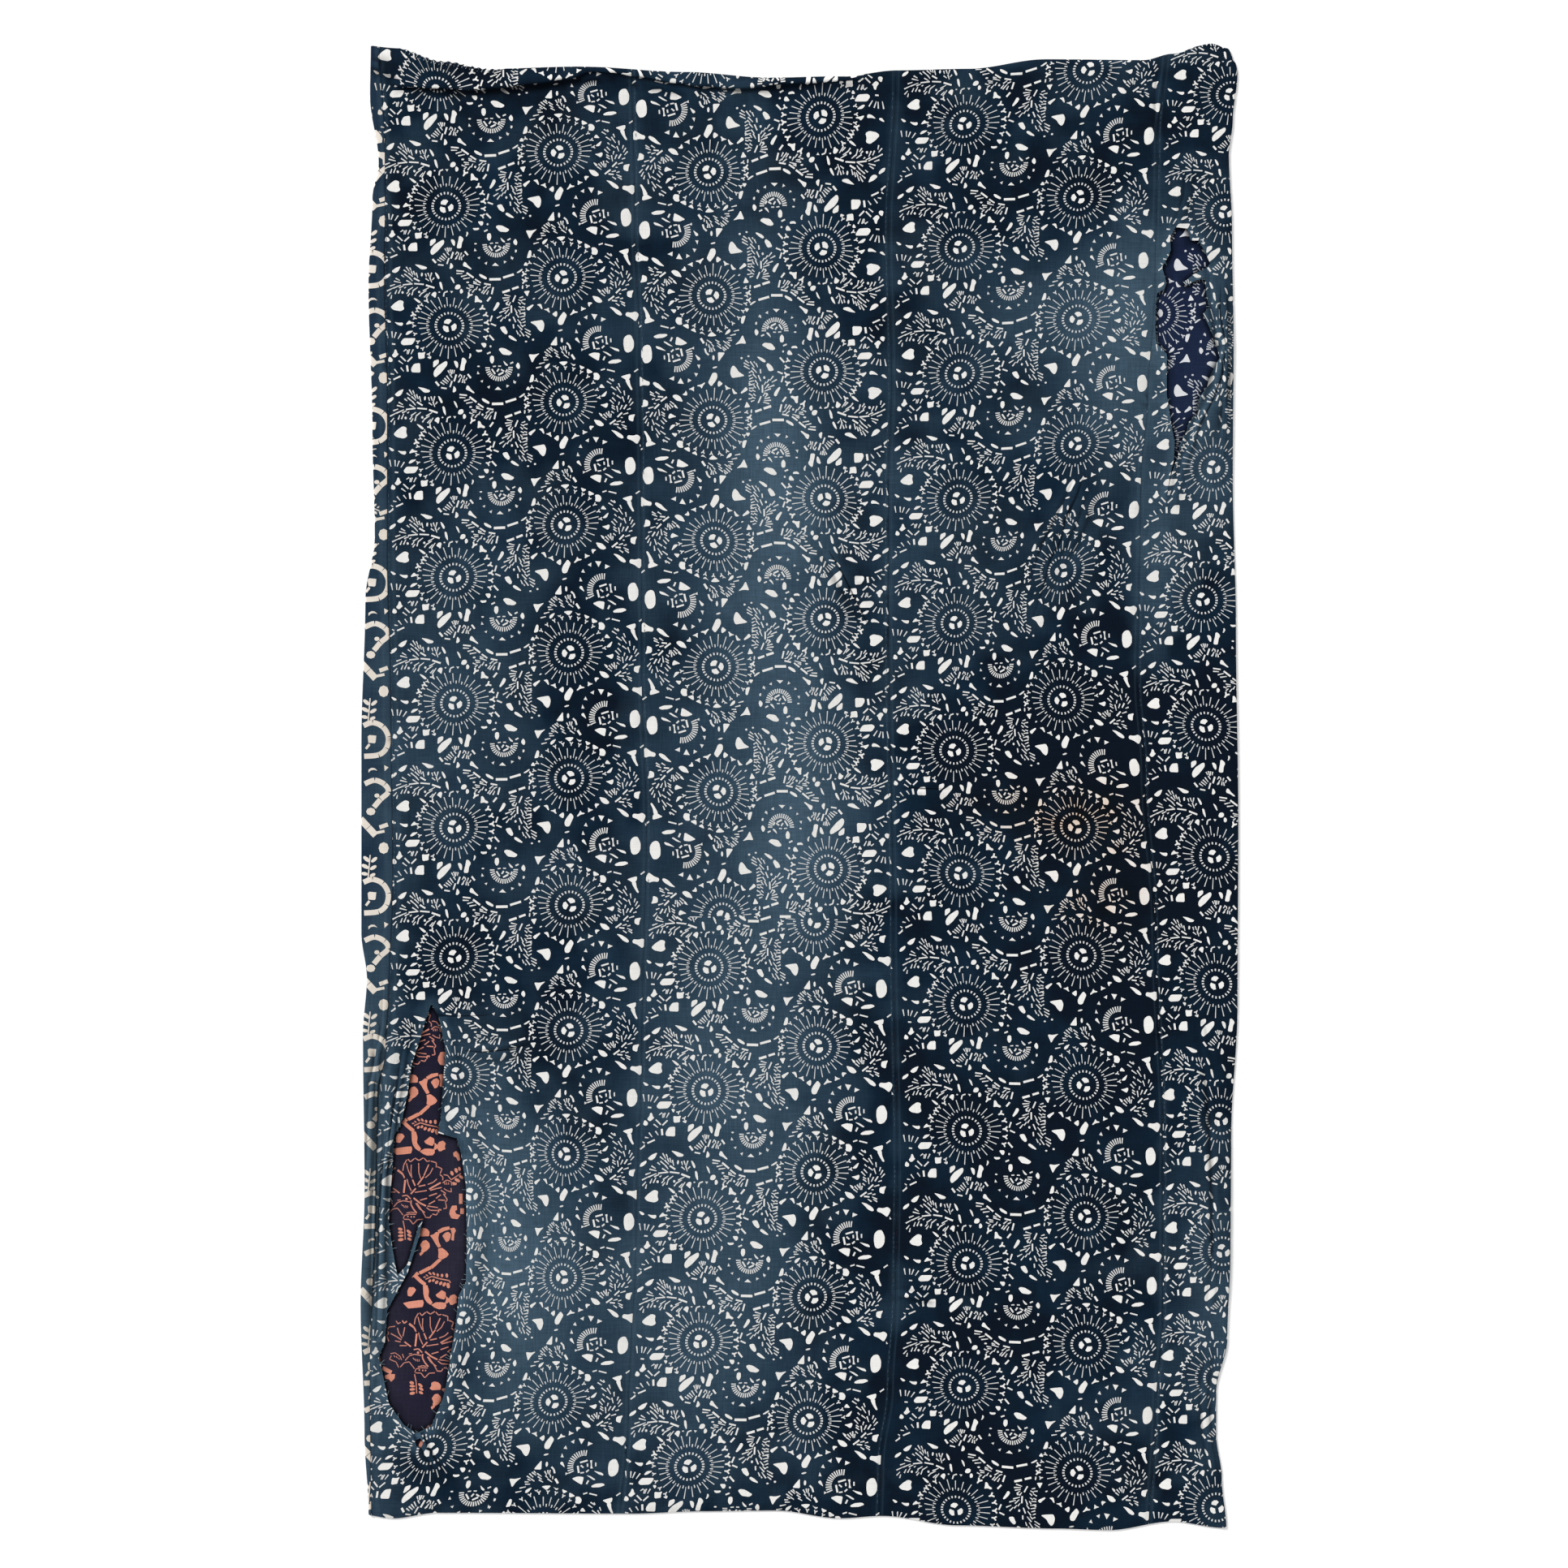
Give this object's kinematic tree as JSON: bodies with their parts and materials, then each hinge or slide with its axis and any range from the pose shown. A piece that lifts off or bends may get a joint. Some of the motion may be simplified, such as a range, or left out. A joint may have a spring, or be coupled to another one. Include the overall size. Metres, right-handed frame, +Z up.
{
  "type": "futon cover",
  "caption": "Empty futon cover sewn from loom widths of stencil-dyed indigo cotton, lying flat and face up, with worn tears.",
  "frame": {"origin": "middle of the cover's outline, at the height of the surface it lies on", "axes": "+X across the widths towards the right side, +Y up the length towards the tucked top edge, +Z up out of the front"},
  "size_m": [1.1139, 1.8852, 0.0079],
  "materials": {
    "flower_cloth": "matte hand-woven cotton, indigo with undyed flowers",
    "vine_cloth": "matte hand-woven cotton, indigo with undyed vines"
  },
  "bodies": {
    "root": {"front_left": "flower_cloth", "front_mid_left": "flower_cloth", "front_mid_right": "flower_cloth", "side_right": "flower_cloth", "back_left": "vine_cloth", "back_middle": "vine_cloth", "back_right": "vine_cloth"}
  },
  "joints": []
}
